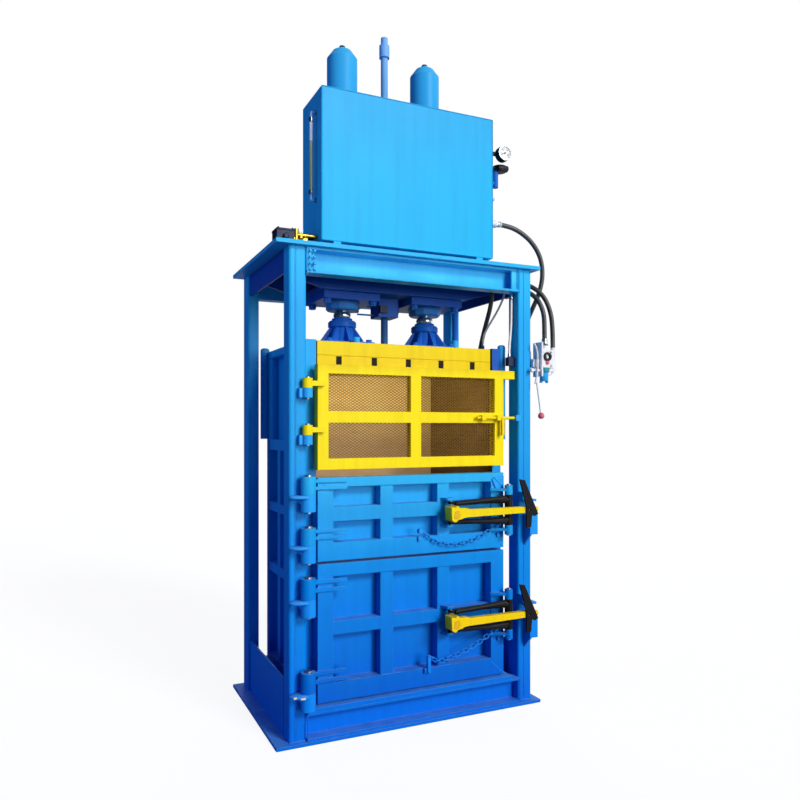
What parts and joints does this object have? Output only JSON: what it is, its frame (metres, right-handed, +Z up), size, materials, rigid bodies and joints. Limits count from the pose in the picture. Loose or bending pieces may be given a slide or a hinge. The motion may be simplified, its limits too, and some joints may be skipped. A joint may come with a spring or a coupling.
{
  "type": "recycling baler",
  "caption": "Upright recycling baler: a column press frame with hydraulic cylinders over a platen, a chamber behind latched doors, a mesh feed door and an oil tank on top",
  "frame": {"origin": "centre of the base plate's underside, on the floor", "axes": "+X to the operator's right, -Y towards the doors and the operator, +Z up"},
  "size_m": [1.619, 1.034, 3.735],
  "materials": {
    "frame_paint": "semi-gloss light blue enamel",
    "press_paint": "semi-gloss dark blue enamel",
    "door_paint": "semi-gloss mid blue enamel",
    "tank_paint": "semi-gloss sky blue enamel",
    "yellow_paint": "semi-gloss yellow enamel",
    "black_paint": "satin black enamel",
    "mount_paint": "semi-gloss blue enamel",
    "chromed_rod": "ground and chromed",
    "bare_steel": "turned steel",
    "clear_tube": "clear plastic tube between painted elbows",
    "gauge_case": "polished case with a white dial",
    "fitting_steel": "blue stack with plated fittings",
    "dark_plastic": "moulded dark plastic",
    "drain_brass": "cast brass with a white handle",
    "valve_metal": "pale grey enamel",
    "lever_metal": "white rod with a red ball",
    "hose_rubber": "matt black rubber hose",
    "cable_sheath": "cream plastic sheath"
  },
  "bodies": {
    "press_frame": {"base_plate": "frame_paint", "column_front_left": "frame_paint", "column_front_right": "frame_paint", "column_rear_left": "frame_paint", "column_rear_right": "frame_paint", "base_beam_front": "frame_paint", "base_beam_rear": "frame_paint", "base_side_plates": "frame_paint", "top_plate": "frame_paint", "top_beam_front": "frame_paint", "top_beam_rear": "frame_paint", "top_side_beams": "frame_paint", "chamber_floor": "frame_paint", "chamber_wall_left": "frame_paint", "chamber_wall_right": "frame_paint", "chamber_wall_rear": "frame_paint", "feed_side_left": "frame_paint", "feed_side_right": "frame_paint", "latch_keepers": "frame_paint", "hinge_brackets": "frame_paint", "crosshead": "press_paint", "guide_sleeve": "press_paint", "cylinder_left": "press_paint", "cylinder_right": "press_paint", "oil_tank": "tank_paint", "hinge_pins": "bare_steel", "sight_tube": "clear_tube", "pressure_gauge": "gauge_case", "tank_valve": "fitting_steel", "switch_boxes": "dark_plastic", "drain_valve": "drain_brass", "manual_valve": "valve_metal", "hose_return": "hose_rubber", "hose_valve_left": "hose_rubber", "hose_valve_right": "hose_rubber", "inner_hose": "hose_rubber", "sensor_cable": "cable_sheath", "switch_conduit": "cable_sheath"},
    "platen": {"platen": "yellow_paint", "guide_pole": "bare_steel", "piston_rod_left": "chromed_rod", "piston_rod_right": "chromed_rod", "rod_mount_left": "mount_paint", "rod_mount_right": "mount_paint"},
    "mesh_door": {"mesh_door_frame": "yellow_paint", "mesh_panels": "yellow_paint"},
    "mesh_bolt": {"mesh_bolt": "yellow_paint"},
    "upper_door": {"upper_door": "door_paint", "upper_chain": "door_paint"},
    "lower_door": {"lower_door": "door_paint", "lower_chain": "door_paint"},
    "upper_latch_link": {"upper_latch_link": "black_paint", "upper_latch_pins": "bare_steel"},
    "lower_latch_link": {"lower_latch_link": "black_paint", "lower_latch_pins": "bare_steel"},
    "upper_latch_bar": {"upper_latch_bar": "yellow_paint"},
    "lower_latch_bar": {"lower_latch_bar": "yellow_paint"},
    "upper_latch_lever": {"upper_latch_lever": "black_paint"},
    "lower_latch_lever": {"lower_latch_lever": "black_paint"},
    "valve_lever": {"valve_lever": "lever_metal"}
  },
  "joints": [
    {"name": "platen_stroke", "type": "slide", "parent": "press_frame", "child": "platen", "axis": [0, 0, -1], "range_m": [0, 1.05]},
    {"name": "mesh_door_hinge", "type": "hinge", "parent": "press_frame", "child": "mesh_door", "pos_m": [-0.597, -0.477, 1.6], "axis": [0, 0, -1], "range_deg": [0, 120]},
    {"name": "mesh_bolt_slide", "type": "slide", "parent": "mesh_door", "child": "mesh_bolt", "axis": [1, 0, 0], "range_m": [0, 0.025]},
    {"name": "upper_door_hinge", "type": "hinge", "parent": "press_frame", "child": "upper_door", "pos_m": [-0.597, -0.489, 1.08], "axis": [0, 0, -1], "range_deg": [0, 120]},
    {"name": "upper_latch_swing", "type": "hinge", "parent": "upper_door", "child": "upper_latch_link", "pos_m": [0.537, -0.482, 1.08], "axis": [0, 0, 1], "range_deg": [0, 100]},
    {"name": "upper_latch_knee", "type": "hinge", "parent": "upper_latch_link", "child": "upper_latch_bar", "pos_m": [0.17967, -0.482, 1.08], "axis": [0, 0, 1], "range_deg": [-100, 0]},
    {"name": "upper_lever_turn", "type": "hinge", "parent": "upper_latch_bar", "child": "upper_latch_lever", "pos_m": [0.628, -0.547, 1.08], "axis": [0, 1, 0], "range_deg": [0, 70]},
    {"name": "lower_door_hinge", "type": "hinge", "parent": "press_frame", "child": "lower_door", "pos_m": [-0.597, -0.489, 0.515], "axis": [0, 0, -1], "range_deg": [0, 120]},
    {"name": "lower_latch_swing", "type": "hinge", "parent": "lower_door", "child": "lower_latch_link", "pos_m": [0.537, -0.482, 0.515], "axis": [0, 0, 1], "range_deg": [0, 100]},
    {"name": "lower_latch_knee", "type": "hinge", "parent": "lower_latch_link", "child": "lower_latch_bar", "pos_m": [0.17967, -0.482, 0.515], "axis": [0, 0, 1], "range_deg": [-100, 0]},
    {"name": "lower_lever_turn", "type": "hinge", "parent": "lower_latch_bar", "child": "lower_latch_lever", "pos_m": [0.628, -0.547, 0.515], "axis": [0, 1, 0], "range_deg": [0, 70]},
    {"name": "valve_lever_swing", "type": "hinge", "parent": "press_frame", "child": "valve_lever", "pos_m": [0.737, -0.446, 1.8497], "axis": [1, 0, 0], "range_deg": [-20, 20]}
  ],
  "couplings": [
    {"joint": "upper_latch_knee", "follows": "upper_latch_swing", "ratio": -1},
    {"joint": "lower_latch_knee", "follows": "lower_latch_swing", "ratio": -1}
  ]
}
